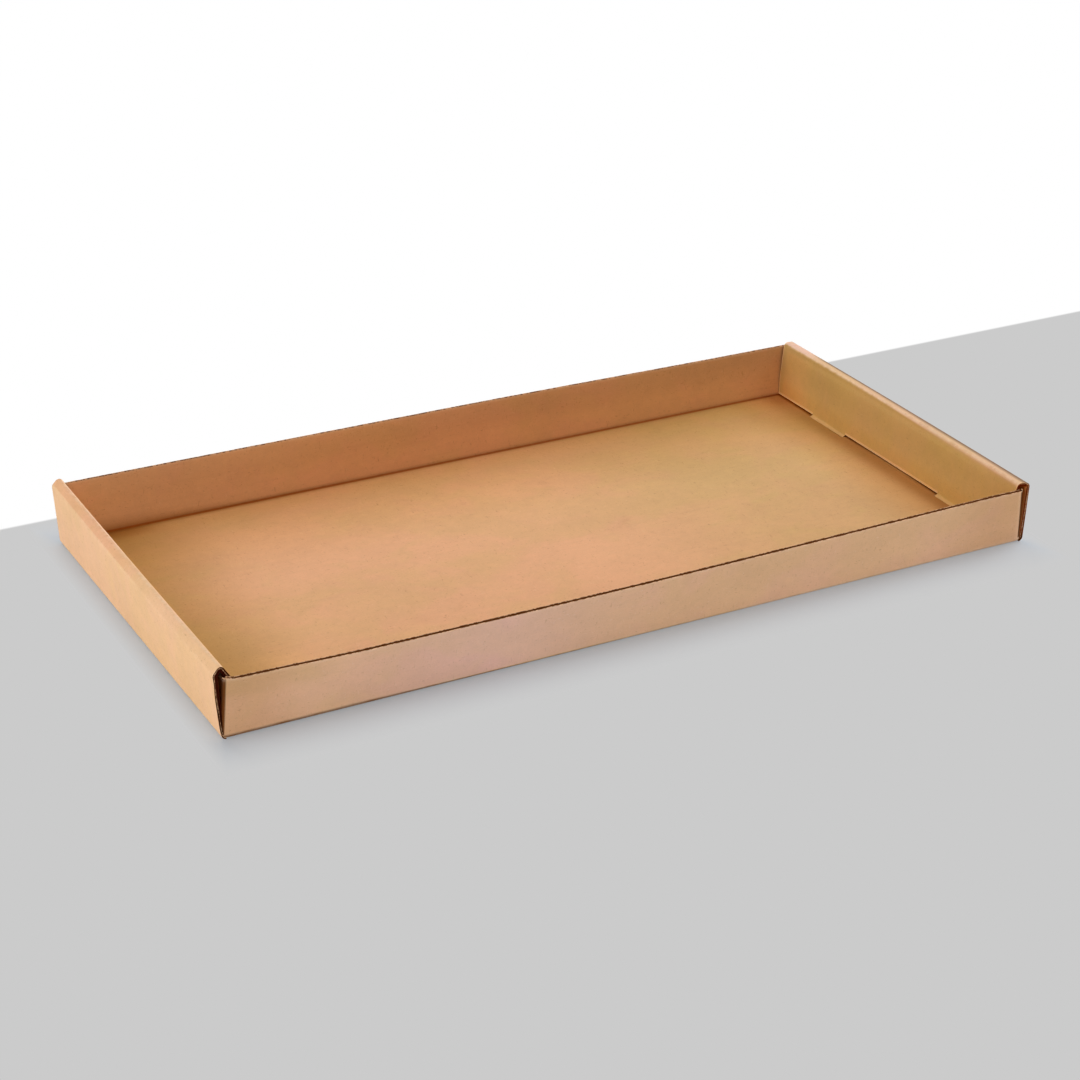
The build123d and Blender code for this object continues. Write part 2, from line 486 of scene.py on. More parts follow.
def buildSheet():
    a, b, part, quads = weldGrids(blankGrids())
    beyond = np.abs(a) > slitX + 1e-6
    onLong = (np.abs(b) <= foldFoot) | (beyond & (np.abs(b) <= endEdge + 1e-6))
    part = np.where((part != flapPart) & onLong, longPart, part)
    edges, mitre = boundaryOf(quads, a, b)
    rimPoints = np.unique(edges)
    # the knife's line is a little ragged
    wobble = cutEdge["ragged"] * (0.5 + 0.5 * unevenness(a, b, *cutEdge["knife"]))
    onRim = np.zeros(len(a), bool)
    onRim[rimPoints] = True
    a = a - mitre[:, 0] * wobble * onRim
    b = b - mitre[:, 1] * wobble * onRim
    count = len(a)
    board = tray["board"]
    # points across a cut edge from the outer liner to the inner: depth n in the board, inset d from the cut
    ra, rb = a[rimPoints], b[rimPoints]
    drift = np.sin(2 * pi * rb / cutEdge["flutePitch"] + 2.2 * unevenness(ra, rb, *cutEdge["waves"]))
    middle = board / 2 + cutEdge["drift"] * drift
    deep = cutEdge["recess"]
    sunk = 0.45 + 0.75 * unevenness(ra, rb, *cutEdge["sunken"])
    sunk = deep * np.clip(sunk, 0.12, 1)
    inFold = (np.abs(a) > slitX + 1e-6) & (np.abs(b) < endEdge + 1e-3)
    onTop = np.abs(rb) > wallTopB - 1e-3
    onPanel = inFold[rimPoints] & (np.abs(ra) < endMarks[1]["band"])
    sunk = np.where(onPanel, cutEdge["panelMedium"] * sunk, sunk)
    sunk = np.where(onTop, cutEdge["topMedium"][0] * deep + cutEdge["topMedium"][1] * sunk, sunk)
    # the sharp fold has pressed its groove shut
    shut = onTop * (rb < 0) * fade(ra, -hingeStart + 0.0045, -hingeStart + 0.0015)
    shade = (1 - cutEdge["pressed"] * shut) / deep
    shade = np.where(rb > wallTopB - 1e-3, cutEdge["topShade"] * shade, shade)
    lipOut, lipIn = [
        cutEdge["ragged"] * np.clip(unevenness(ra, rb, *cutEdge[lip]), 0, 1) for lip in ("lipOut", "lipIn")
    ]
    lip, web = cutEdge["lip"], cutEdge["medium"]
    floorOfCut = np.where(onTop, cutEdge["topRecess"] * deep, deep)
    outerLip = cutEdge["liner"] * np.where(onTop, cutEdge["topLiners"][0], 1)
    innerLip = board - cutEdge["liner"] * np.where(onTop, cutEdge["topLiners"][1], 1)
    section = [
        (outerLip, lipOut),
        (outerLip + lip, floorOfCut),
        (middle - web - 4 * lip, floorOfCut),
        (middle - web, np.minimum(sunk, floorOfCut)),
        (middle + web, np.minimum(sunk, floorOfCut)),
        (middle + web + 4 * lip, floorOfCut),
        (innerLip - lip, floorOfCut),
        (innerLip, lipIn),
    ]
    # painted shade: the ends' lips take the groove's dark colour
    lips = cutEdge["endLips"]
    dark = inFold * onRim
    darkLips = {0: np.where(a > 0, lips["right"], lips["left"]) * dark, 7: lips["inner"] * dark}
    layers = [(a, b, np.zeros(count), darkLips[0], part), (a, b, np.full(count, board), darkLips[7], part)]
    inA, inB = mitre[rimPoints].T
    for k, (n, inset) in enumerate(section):
        lipShade = darkLips[k][rimPoints] if k in darkLips else 0
        shown = np.maximum(shade * inset, lipShade)
        layers.append((ra - inA * inset, rb - inB * inset, n, shown, part[rimPoints]))
    a, b, n, sunk, part = [np.concatenate(layer) for layer in zip(*layers)]
    points = foldUp(a, b, n, part)
    # outer face, inner face and the strips between them
    order = np.full(count, -1)
    order[rimPoints] = np.arange(len(rimPoints))
    rings = [2 * count + k * len(rimPoints) + order[edges] for k in range(len(section))]
    rings = [edges, *rings, edges + count]
    strips = [np.concatenate([low, high[:, ::-1]], 1) for low, high in zip(rings[:-1], rings[1:])]
    faces = np.concatenate([quads[:, ::-1], quads + count] + strips)
    finish = np.repeat([0, 1, 2], [len(quads), len(quads), len(edges) * len(strips)])
    blank = np.stack([a, b, n], 1)
    return points, faces, finish, blank, sunk


def addObject(name, data):
    thing = bpy.data.objects.new(name, data)
    bpy.context.scene.collection.objects.link(thing)
    return thing


def meshPiece(name, points, faces, finish, materials):
    data = bpy.data.meshes.new(name)
    data.vertices.add(len(points))
    data.vertices.foreach_set("co", points.astype(np.float32).ravel())
    data.loops.add(faces.size)
    data.loops.foreach_set("vertex_index", faces.astype(np.int32).ravel())
    data.polygons.add(len(faces))
    data.polygons.foreach_set("loop_start", np.arange(0, faces.size, faces.shape[1], dtype=np.int32))
    for material in materials:
        data.materials.append(material)
    data.polygons.foreach_set("material_index", finish.astype(np.int32))
    data.polygons.foreach_set("use_smooth", np.ones(len(faces), bool))
    data.update(calc_edges=True)
    data.validate()
    data.set_sharp_from_angle(angle=radians(38))
    return addObject(name, data)


def paint(red, green, blue):
    # a colour as it shows on screen, 0 to 255, turned to linear light
    shown = np.array([red, green, blue]) / 255
    linear = np.where(shown <= 0.04045, shown / 12.92, ((shown + 0.055) / 1.055) ** 2.4)
    return (*linear.tolist(), 1.0)


def newMaterial(name):
    material = bpy.data.materials.new(name)
    material.use_nodes = True
    tree = material.node_tree
    tree.nodes.clear()
    shader = place(tree, "BsdfPrincipled")
    feed(tree, shader.outputs["BSDF"], place(tree, "OutputMaterial").inputs["Surface"])
    return material, shader


def place(tree, kind, **settings):
    node = tree.nodes.new("ShaderNode" + kind)
    for name, value in settings.items():
        setattr(node, name, value)
    return node


def feed(tree, value, socket):
    if isinstance(value, bpy.types.NodeSocket):
        tree.links.new(value, socket)
    else:
        socket.default_value = value


def feedAll(tree, node, **values):
    for name, value in values.items():
        feed(tree, value, node.inputs[name])
    return node.outputs


def compute(tree, operation, *values):
    node = place(tree, "Math", operation=operation)
    for value, socket in zip(values, node.inputs):
        feed(tree, value, socket)
    return node.outputs[0]


def product(tree, first, second):
    return compute(tree, "MULTIPLY", first, second)


def blend(tree, factor, first, second, mode="MIX"):
    node = place(tree, "Mix", data_type="RGBA", blend_type=mode)
    for value, index in ((factor, 0), (first, 6), (second, 7)):
        feed(tree, value, node.inputs[index])
    return node.outputs[2]


def remap(tree, value, low, high, outLow=0.0, outHigh=1.0):
    node = place(tree, "MapRange", interpolation_type="SMOOTHSTEP")
    for number, socket in zip((value, low, high, outLow, outHigh), node.inputs):
        feed(tree, number, socket)
    return node.outputs[0]


def cloud(tree, where, stretch, detail=2.0, roughness=0.5, distortion=0.0):
    # noise over the blank, with so many cells a metre along a, b and n
    scaled = place(tree, "VectorMath", operation="MULTIPLY")
    feed(tree, where, scaled.inputs[0])
    feed(tree, stretch, scaled.inputs[1])
    noise = {"Detail": detail, "Roughness": roughness, "Distortion": distortion}
    return feedAll(tree, place(tree, "TexNoise"), Vector=scaled.outputs[0], Scale=1.0, **noise)[0]


def newGroup(name, inputs, outputs):
    group = bpy.data.node_groups.new(name, "ShaderNodeTree")
    for label, kind in inputs:
        group.interface.new_socket(label, in_out="INPUT", socket_type="NodeSocket" + kind)
    for label in outputs:
        group.interface.new_socket(label, in_out="OUTPUT", socket_type="NodeSocketFloat")
    return group, group.nodes.new("NodeGroupInput").outputs, group.nodes.new("NodeGroupOutput").inputs


def buildPaperGrain():
    # kraft paper: soft blotches, fine grain, and sparse short fibres, dark and pale, most of them along a
    outputs = ("Mottle", "Hue", "Dark Fibre", "Pale Fibre", "Height")
    group, given, result = newGroup("paperGrain", [("Blank", "Vector")], outputs)
    where = given["Blank"]
    broad = cloud(group, where, (11, 17, 17), 4.0, 0.6, 0.3)
    small = cloud(group, where, (120, 140, 140), 3.0, 0.6, 0.5)
    grain = cloud(group, where, (800, 1000, 1000), 2.0)
    mottle = compute(group, "MULTIPLY_ADD", broad, 0.6, product(group, small, 0.4))
    mottle = compute(group, "MULTIPLY_ADD", grain, 0.25, product(group, mottle, 0.75))
    along = cloud(group, where, (430, 1150, 1150), 1.0, 0.5, 0.9)
    across = cloud(group, where, (1050, 260, 900), 1.0, 0.5, 0.9)
    dark = remap(group, along, 0.66, 0.76), remap(group, across, 0.68, 0.78)
    pale = remap(group, along, 0.34, 0.24), remap(group, across, 0.32, 0.22)
    hue = product(group, cloud(group, where, (5, 9, 9), 2.0), 0.62)
    hue = compute(group, "MULTIPLY_ADD", cloud(group, where, (28, 40, 40), 2.0, 0.5, 0.6), 0.38, hue)
    feed(group, mottle, result["Mottle"])
    feed(group, hue, result["Hue"])
    feed(group, compute(group, "MAXIMUM", *dark), result["Dark Fibre"])
    feed(group, compute(group, "MAXIMUM", *pale), result["Pale Fibre"])
    feed(group, compute(group, "MULTIPLY_ADD", along, 0.5, grain), result["Height"])
    return group


def buildFluteShade():
    # the flutes print through the liner: a line at every flute tip, cos(2 pi b / pitch), that comes and goes
    inputs = [("Blank", "Vector"), ("Pitch", "Float")]
    group, given, result = newGroup("fluteShade", inputs, ("Line", "Height"))
    parts = place(group, "SeparateXYZ")
    feed(group, given["Blank"], parts.inputs[0])
    drift = cloud(group, given["Blank"], (3, 12, 12), 1.0)
    turns = compute(group, "DIVIDE", parts.outputs[1], given["Pitch"])
    turns = compute(group, "MULTIPLY_ADD", drift, 0.5, turns)
    wave = compute(group, "COSINE", product(group, turns, 2 * pi))
    presence = remap(group, cloud(group, given["Blank"], (12, 40, 40), 3.0, 0.6), 0.42, 0.68)
    line = product(group, remap(group, wave, 0.3, 1.0), presence)
    feed(group, line, result["Line"])
    feed(group, product(group, wave, presence), result["Height"])
    return group


def buildHandling():
    # scuffs that bare paler fibres along folds and rims, in patches
    inputs = [("Blank", "Vector"), ("Fold", "Float"), ("Rim", "Float")]
    group, given, result = newGroup("handling", inputs, ("Scuff", "Smudge"))
    patch = cloud(group, given["Blank"], (90, 210, 210), 3.0, 0.6)
    worn = compute(group, "MAXIMUM", given["Fold"], given["Rim"])
    scuff = product(group, worn, remap(group, patch, 0.34, 0.6))
    rare = cloud(group, given["Blank"], (26, 40, 40), 3.0, 0.65, 0.6)
    feed(group, scuff, result["Scuff"])
    feed(group, remap(group, rare, 0.62, 0.78), result["Smudge"])
    return group


paperGrain = buildPaperGrain()
fluteShade = buildFluteShade()
handling = buildHandling()

liners = {
    "outer": {
        "color": paint(232, 189, 143),
        "rosy": paint(234, 188, 148),
        "fibre": paint(164, 112, 70),
        "pale": paint(248, 220, 190),
        "flute": 0.02,
        "bump": 0.12,
        "shine": 0.05,
        "roughness": (0.66, 0.86),
    },
    "inner": {
        "color": paint(222.4, 172.6, 126.4),
        "rosy": paint(226.8, 171.4, 130.8),
        "fibre": paint(146, 92, 50),
        "pale": paint(240, 202, 162),
        "flute": 0.03,
        "bump": 0.15,
        "shine": 0.06,
        # painted shade in the inner creases
        "crease": paint(150, 72, 8),
        "roughness": (0.70, 0.88),
    },
}

cutBoardLook = {
    "lip": paint(222, 176, 134),
    # the medium's own brown, darkened with painted shade of its recess
    "groove": paint(104, 52, 0),
    "roughness": 0.9,
}


def readAttribute(tree, name, output):
    node = place(tree, "Attribute", attribute_name=name)
    return node.outputs[output]


def useGroup(tree, group, **values):
    return feedAll(tree, place(tree, "Group", node_tree=group), **values)


def addBump(tree, shader, height, strength, distance):
    bump = feedAll(tree, place(tree, "Bump"), Strength=strength, Distance=distance, Height=height)
    feed(tree, bump[0], shader.inputs["Normal"])


def linerLook(name, look, creaseShade):
    material, shader = newMaterial(name)
    tree = material.node_tree
    blankPlace = readAttribute(tree, "blank", "Vector")
    fold, rim = [readAttribute(tree, layer, "Fac") for layer in ("fold", "rim")]
    paper = useGroup(tree, paperGrain, Blank=blankPlace)
    flute = useGroup(tree, fluteShade, Blank=blankPlace, Pitch=cutEdge["flutePitch"])
    worn = useGroup(tree, handling, Blank=blankPlace, Fold=fold, Rim=rim)
    color = blend(tree, remap(tree, paper["Hue"], 0.42, 0.58), look["color"], look["rosy"])
    tone = remap(tree, paper["Mottle"], 0.3, 0.7, 0.93, 1.06)
    color = blend(tree, 1.0, color, tone, "MULTIPLY")
    for mark, share, shown in (
        (paper["Dark Fibre"], 0.30, "fibre"),
        (paper["Pale Fibre"], 0.24, "pale"),
        (flute["Line"], look["flute"], "fibre"),
        (worn["Smudge"], 0.10, "fibre"),
    ):
        color = blend(tree, product(tree, mark, share), color, look[shown])
    # the colour factors over the sheet, mostly painted light and shade
    color = blend(tree, 1.0, color, readAttribute(tree, "toneAndShade", "Color"), "MULTIPLY")
    # the inner liner takes painted shade in its creases, then the pale lip at rims
    if creaseShade:
        color = blend(tree, product(tree, fold, creaseShade), color, look["crease"])
        color = blend(tree, product(tree, rim, 0.42), color, look["pale"])
    else:
        color = blend(tree, product(tree, worn["Scuff"], 0.6), color, look["pale"])
    feed(tree, color, shader.inputs["Base Color"])
    rough = remap(tree, paper["Mottle"], 0.3, 0.7, *look["roughness"])
    feed(tree, rough, shader.inputs["Roughness"])
    relief = compute(tree, "MULTIPLY_ADD", flute["Height"], 0.35, paper["Height"])
    addBump(tree, shader, relief, look["bump"], 0.0003)
    shader.inputs["Specular IOR Level"].default_value = look["shine"]
    return material


def cutLook(name, look):
    # liners' torn lips at both sides of a dark groove, the medium's brown with painted shade of the recess,
    # and the medium where it comes up to the cut
    material, shader = newMaterial(name)
    tree = material.node_tree
    blankPlace = readAttribute(tree, "blank", "Vector")
    paper = useGroup(tree, paperGrain, Blank=blankPlace)
    sunkDepth = readAttribute(tree, "sunk", "Fac")
    ragged = cloud(tree, blankPlace, (420, 420, 900), 3.0, 0.6)
    depth = compute(tree, "MULTIPLY_ADD", compute(tree, "SUBTRACT", ragged, 0.5), 0.5, sunkDepth)
    # the grooves take the same factors of painted shade and tone
    groove = blend(tree, 1.0, look["groove"], readAttribute(tree, "toneAndShade", "Color"), "MULTIPLY")
    broken = remap(tree, cloud(tree, blankPlace, (620, 620, 0), 2.0), 0.42, 0.56, 0.25, 1.0)
    lip = blend(tree, broken, groove, look["lip"])
    color = blend(tree, remap(tree, depth, 0.06, 0.5), lip, groove)
    color = blend(tree, product(tree, paper["Dark Fibre"], 0.35), color, look["groove"])
    feed(tree, color, shader.inputs["Base Color"])
    addBump(tree, shader, ragged, 0.35, 0.0004)
    shader.inputs["Roughness"].default_value = look["roughness"]
    shader.inputs["Specular IOR Level"].default_value = 0.1
    return material


# Along folds, pale wear on the outer liner and painted shade in the creases of the inner liner: of the ends'
# folds, from where to where, how much outside and how wide; of the long walls' folds, how much outside, how
# wide and how far in; and how wide at hinges and rims
wearAndCreaseShade = {
    "folds": (
        ("fold", "panel", 0.45, 0.0010),
        ("crease", "band", 0.10, 0.0014),
        ("ridge", "inner", 0.55, 0.0010),
    ),
    "wallFold": (0.3, 0.0011, 0.0005),
    "hinge": 0.0020,
    "rim": 0.0006,
}

# Lines and strengths that change along the sheet: a value, what is added to it, and over which a or b
moving = {
    "tanLine": (-0.0025, 0.0019, "b", (0.06, -0.07)),
    "browLine": (0.0021, 0.0009, "b", (0.06, -0.07)),
    "bareShare": (1, 1.2, "b", (0, 0.045)),
    "soleLine": (-0.0009, 0.0014, "a", (-0.08, -0.22)),
    "duskShare": (0.25, 0.75, "a", (-0.20, 0.10)),
    "furrowShare": (0.4, 0.6, "a", (0.05, -0.24)),
    "furrowOnFloor": (0.0028, 0.0008, "a", (-0.20, -0.26)),
    "furrowOnWall": (0.0020, 0.0040, "a", (-0.15, -0.27)),
    "gapLine": (0.0005, -0.0008, "b", (0.07, 0.10)),
}
leftTanLine = -0.0012
bandEnd = -0.0020
middleShut = (-0.008, 0.045)
frontEndsDarker = (0.89, 0.84, 0.78)

# How the colour changes over the sheet, mostly painted light and shade, partly the paper's own tone: area of
# each patch, factors for red, green and blue at full strength, and limits: over a measure the patch grows
# from none to full between two values by fade(), and aboutA and aboutB make it fall off from a middle with a
# spread by bell()
shadeAndTonePatches = [
    # inner panels: painted shade on the face, the upper fold and the upper part, painted light on the lower
    # part, the foot's pale lip, the liner's own and brightened with painted light, the rear part of the right
    # one lighter, and tabs
    ("outer", (0.885, 0.90, 0.585), {"pastBand": (0, 0.0012)}),
    ("panel", (0.86, 0.79, 0.74), {"pastBand": (0, 0.0012), "pastRidge": (0.002, -0.002)}),
    ("panel", (0.90, 0.90, 0.86), {"pastRidge": (-0.0035, 0), "height": (0.018, 0.034)}),
    ("panel", (1.19, 1.17, 1.06), {"height": (0.024, 0.006)}),
    ("panelFoot", (1.60, 1.56, 2.0), {"pastFoot": (-0.0016, -0.0004)}),
    ("rearPanel", (1.13, 1.05, 1.02), {"pastRidge": (0, 0.004), "b": (0.095, 0.122)}),
    ("tab", (0.99, 0.92, 1.04), {}),
    # right end: painted shade on its band, which faces up, the rear tip of it paler and bluer, and painted
    # shade along its outer crease
    ("bandTop", (0.92, 0.955, 0.99), {}),
    ("band", (1.05, 1.05, 1.30), {"b": (0.095, 0.120)}),
    ("brow", (0.37, 0.35, 0.36), {"pastCrease": (0.0022, 0.0031), "b": (0.120, 0.095)}),
    # left end: pale fibres along its ridge, and the rear part of its band
    ("leftRidge", (1.12, 1.16, 1.24), {"pastRidge": (-0.0024, -0.0016)}),
    ("leftBand", (0.96, 0.86, 0.84), {"pastRidge": (-0.0018, -0.0024), "b": (-0.035, 0.025)}),
    # front wall: all of it, lower half lighter, middle bluer, both ends darker, top of its left end darker,
    # and painted shade on the underside of its foot
    ("front", (1.0, 0.965, 0.99), {}),
    ("front", (1.05, 1.05, 1.07), {"height": (0.030, 0.006), "a": (-0.26, -0.05)}),
    ("front", (1.0, 1.02, 1.30), {"aboutA": (-0.12, 0.085)}),
    ("front", frontEndsDarker, {"a": (-0.24, -0.285)}),
    ("frontWall", frontEndsDarker, {"a": (0.21, 0.285)}),
    ("front", (0.90, 0.91, 0.84), {"height": (0.022, 0.036), "a": (-0.215, -0.25)}),
    ("sole", (0.30, 0.20, 0.12), {"a": (0.12, -0.10)}),
    # painted shade where a long wall turns the corner, deeper further in, and over everything inside a folded
    # end
    ("flap", (0.19, 0.10, 0.03), {"pastTurn": (-0.0002, 0.0006), "pastHinge": (0.006, 0.001)}),
    ("flap", (0.34, 0.22, 0.08), {"pastTurn": (0.0004, 0.0034), "pastHinge": (0.006, 0.001)}),
    ("hollow", (0.85, 0.46, 0.13), {}),
    # painted shade in the grooves of the left end's cut edges made darker, and in the right one's lighter
    ("leftCut", (0.55, 0.36, 0.16), {}),
    ("rightCut", (1.9, 1.6, 1.0), {}),
    # painted warm light from the floor on the inside of both long walls and of the rear one, painted shade
    # over its upper part, and painted shade on both sides of the crease at its foot
    ("wallInside", (1.0, 0.92, 0.84), {}),
    ("rear", (0.985, 0.945, 0.81), {"a": (-0.25, -0.05)}),
    ("dusk", (0.80, 0.80, 0.80), {"height": (0.016, 0.038)}),
    ("furrow", (0.66, 0.54, 0.38), {}),
    # floor beside the left end: painted shadow of that end, painted shade in its rear corner, and painted
    # light in its near one
    ("floor", (0.70, 0.685, 0.46), {"a": (-0.19, -0.28)}),
    ("floor", (0.78, 0.64, 0.50), {"b": (0.124, 0.136), "a": (-0.225, -0.255)}),
    ("floor", (1.17, 1.14, 1.16), {"b": (-0.045, -0.085), "aboutA": (-0.228, 0.020)}),
    # floor greener and darker towards the right end, painted shade over the last of it, darker and warmer
    # towards the rear wall, and lighter along it
    ("floor", (0.83, 0.91, 0.79), {"a": (0, 0.18)}),
    ("floor", (1.04, 0.90, 0.66), {"a": (0.225, underFoot)}),
    ("floor", (0.845, 0.78, 0.62), {"b": (0.020, 0.120)}),
    ("floor", (1.09, 1.07, 1.0), {"b": (0.112, 0.132)}),
    # floor darker at the rear towards the left and at the front towards the right, and painted light in its
    # rear right corner
    ("floor", (0.92, 0.93, 0.89), {"aboutA": (-0.222, 0.028), "aboutB": (0.100, 0.025)}),
    ("floor", (0.89, 0.895, 0.865), {"aboutA": (0.238, 0.025), "b": (0.01, -0.04)}),
    ("floor", (1.24, 1.17, 1.40), {"b": (0.085, 0.125), "a": (0.245, 0.268)}),
    # painted shade on the floor close under an inner panel and in the gap where the panel stands over it, and
    # painted light in its middle, where the gap nearly shuts
    ("floor", (0.78, 0.68, 0.55), {"pastGap": (-0.020, -0.004), "b": (0.125, 0.03)}),
    ("gap", (0.60, 0.30, 0.03), {}),
    ("underPanel", (1.50, 1.45, 1.35), {"aboutB": middleShut, "pastGap": (0, 0.0008)}),
]


def paintSheet(piece, points, blank, sunk):
    # point values that the materials read: the place on the blank, nearness to folds and rims, and the colour
    # factors of painted light and shade and of tone
    a, b, n = blank.T
    far, side = np.abs(a), np.abs(b)
    outer = n < tray["board"] / 2
    inEnd = side < endEdge + 1e-6
    marks = {name: markAt(a, name) for name in pathPieces}
    # fold: pale wear on the outer liner, painted shade in the creases of the inner one
    fold = np.zeros(len(a))
    for first, last, share, spread in wearAndCreaseShade["folds"]:
        near = bell(far, (marks[first] + marks[last]) / 2, spread) * inEnd
        fold = np.maximum(fold, near * np.where(outer, share, 1))
    share, spread, inward = wearAndCreaseShade["wallFold"]
    beside = np.abs(side + inward - (foldFoot + foldTop) / 2) - (foldTop - foldFoot) / 2
    beside = np.maximum(beside, 0)
    across = bell(beside, 0, spread) * (far < slitX + 1e-6) * np.where(outer, share, 1)
    hinge = bell(far, (hingeStart + hingeEnd) / 2, wearAndCreaseShade["hinge"])
    hinge = hinge * (side > wallFootB - 1e-6) * (side > endEdge) * ~outer
    fold = np.maximum(fold, np.maximum(across, hinge))
    tabGap = pastTab(b)
    edge = np.abs(endEdge - side) + 1e3 * (far < endMarks[1]["fold"])
    edge = np.minimum(edge, np.abs(wallTopB - side))
    edge = np.minimum(edge, np.abs(marks["foot"] - far) + 1e3 * (tabGap < 1e-4))
    rim = np.exp(-edge / wearAndCreaseShade["rim"])

    right = endMarks[1]
    now = {}
    for name, (value, more, along, span) in moving.items():
        now[name] = value + more * fade(a if along == "a" else b, *span)
    turnStart = hingeStart + np.where(a < 0, tray["foldOutside"] - tray["sharpFold"], 0)
    measures = {
        "a": a,
        "b": b,
        "aboutA": a,
        "aboutB": b,
        "height": points[:, 2],
        "pastCrease": far - right["crease"],
        "pastBand": far - marks["inner"] - np.where(a < 0, leftTanLine, now["tanLine"]),
        "pastRidge": far - marks["inner"],
        "pastFoot": far - marks["foot"],
        "pastTurn": far - turnStart,
        "pastHinge": far - hingeEnd,
        "pastGap": far - underFoot,
    }
    onFlap = (side > wallFootB - 1e-6) & (far > hingeStart) & ~inEnd
    onBand = outer * (measures["pastRidge"] < bandEnd)
    onPanel = outer * (a > right["band"])
    front, rear = outer * (b < -foldTop), ~outer * (b > foldTop)
    onFloor = ~outer * (side < foldFoot)
    underPanel = onFloor * (far < right["fold"])
    inCut = (np.abs(side - endEdge) < 0.002) * (far > right["panel"]) * (sunk > 0.02)
    soleTop = foldTop + now["soleLine"]
    browEnd = fade(far, right["band"] + now["browLine"], right["band"] + 0.0008)
    reach = np.where(side < foldTop, now["furrowOnFloor"], now["furrowOnWall"])
    furrow = bell(beside, 0, reach) * now["furrowShare"]
    flapFace = fade(far, hingeStart + 0.0012, hingeEnd - 0.0004) * np.where(b > 0, 0.15, 0.6)
    flapInside = onFlap * np.where(outer, fade(far, hingeEnd + 0.001, hingeEnd + 0.006), flapFace)
    endInside = ~outer * inEnd * fade(far, right["fold"], right["panel"])
    openGap = fade(measures["pastGap"] - now["gapLine"], 0, 0.0005)
    areas = {
        "outer": outer,
        "panel": onPanel,
        "panelFoot": outer * (tabGap > 1e-4) * (far < marks["foot"] + 1e-4),
        "rearPanel": onPanel * fade(b, 0.143, 0.134),
        "tab": outer * (far > marks["foot"] + 0.0004),
        "bandTop": onBand * fade(a, right["crease"], right["band"]),
        "band": onBand * (a > right["crease"]),
        "brow": onBand * (a > right["panel"]) * browEnd,
        "leftRidge": outer * (a < 0) * inEnd * now["bareShare"],
        "leftBand": outer * (a < 0) * (far > marks["band"]),
        "front": front,
        "frontWall": front * (a < hingeStart - 0.0003),
        "sole": outer * (b < 0) * (far < slitX) * (side > foldFoot) * fade(side, soleTop, soleTop - 0.0010),
        "flap": onFlap * outer,
        "hollow": flapInside + endInside,
        "leftCut": inCut * (a < 0),
        "rightCut": inCut * (a > 0),
        "wallInside": ~outer * (side > foldTop),
        "rear": rear,
        "dusk": rear * now["duskShare"],
        "furrow": ~outer * (b > 0) * (far < slitX) * furrow,
        "floor": onFloor,
        "gap": underPanel * (1 - bell(b, *middleShut)) * openGap,
        "underPanel": underPanel,
    }
    toneAndShade = np.ones((len(a), 3))
    for area, color, limits in shadeAndTonePatches:
        amount = areas[area] * 1.0
        for name, limit in limits.items():
            grow = bell if name.startswith("about") else fade
            amount = amount * grow(measures[name], *limit)
        toneAndShade = toneAndShade * (1 - amount[:, None] * (1 - np.array(color)))
    values = {"blank": blank, "sunk": sunk, "fold": fold, "rim": rim, "toneAndShade": toneAndShade}
    for name, value in values.items():
        kind = {1: "FLOAT", 2: "FLOAT_VECTOR"}[value.ndim]
        layer = piece.data.attributes.new(name, kind, "POINT")
        layer.data.foreach_set("value" if value.ndim == 1 else "vector", value.astype(np.float32).ravel())


points, faces, finish, blank, sunk = buildSheet()
looks = [
    linerLook("outerLiner", liners["outer"], 0),
    linerLook("innerLiner", liners["inner"], 0.9),
    cutLook("cutBoard", cutBoardLook),
]
sheetPiece = meshPiece("folded_sheet", points, faces, finish, looks)
paintSheet(sheetPiece, points, blank, sunk)
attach(sheetPiece, "root")
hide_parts("tray")
print("sheet built:", len(points), "points", len(faces), "quads")

# Floor, camera and light
studio = {
    "floorSize": 8.0,
    "under": 0.0001,
    "floorColor": paint(208, 213, 219),
    "shownColor": paint(203, 203, 203),
    # a bluer floor close to the tray, painted against the warm light that the tray throws on it
    "contactColor": paint(192, 207, 223),
    "contact": (0.0, 0.034, 0.38, 1.0),
    "contactSpan": ((0.300, 0.150), (2.5, 1.0)),
    "whiteBeyond": (0.1825, 0.1860),
    "whiteSlant": -0.0045,
    "whiteAround": (1.0, 2.2),
    "lens": 81.52,
    "eye": (-0.7514, -1.3132, 0.7558),
    "azimuth": 29.609,
    "downward": 26.519,
    "roll": 1.565,
    "shift": (-0.00046, 0.00046),
    "worldColor": (1.0, 1.0, 1.0, 1.0),
    "worldStrength": 0.08,
}


